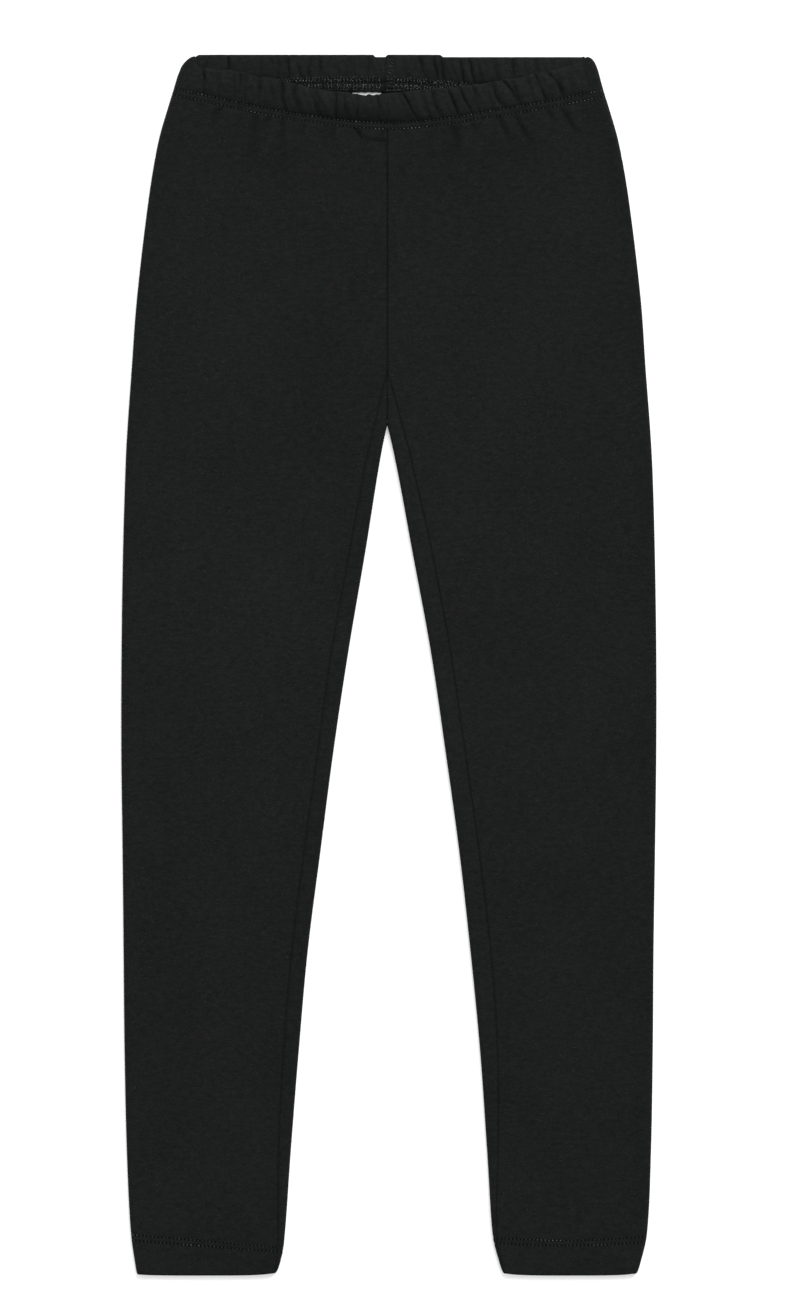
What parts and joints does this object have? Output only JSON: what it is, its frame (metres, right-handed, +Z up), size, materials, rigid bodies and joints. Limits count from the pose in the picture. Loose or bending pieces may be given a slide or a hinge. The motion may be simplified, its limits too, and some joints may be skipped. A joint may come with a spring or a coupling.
{
  "type": "leggings",
  "caption": "Full-length jersey leggings with a gathered elastic waist casing and turned hems, laid flat on their back.",
  "frame": {"origin": "on the surface the garment lies on, under the middle of its length and width", "axes": "+Y along the legs towards the waist, +Z up from the surface to the garment's front, +X to the viewer's right, which is the wearer's left"},
  "size_m": [0.4275, 0.976, 0.0082],
  "materials": {
    "jersey": "matt black brushed cotton sweat jersey",
    "label_tape": "white woven tape, blank"
  },
  "bodies": {
    "root": {"leg_right": "jersey", "leg_left": "jersey", "hem_right": "jersey", "hem_left": "jersey", "waist_casing_right": "jersey", "waist_casing_left": "jersey", "label": "label_tape"}
  },
  "joints": []
}
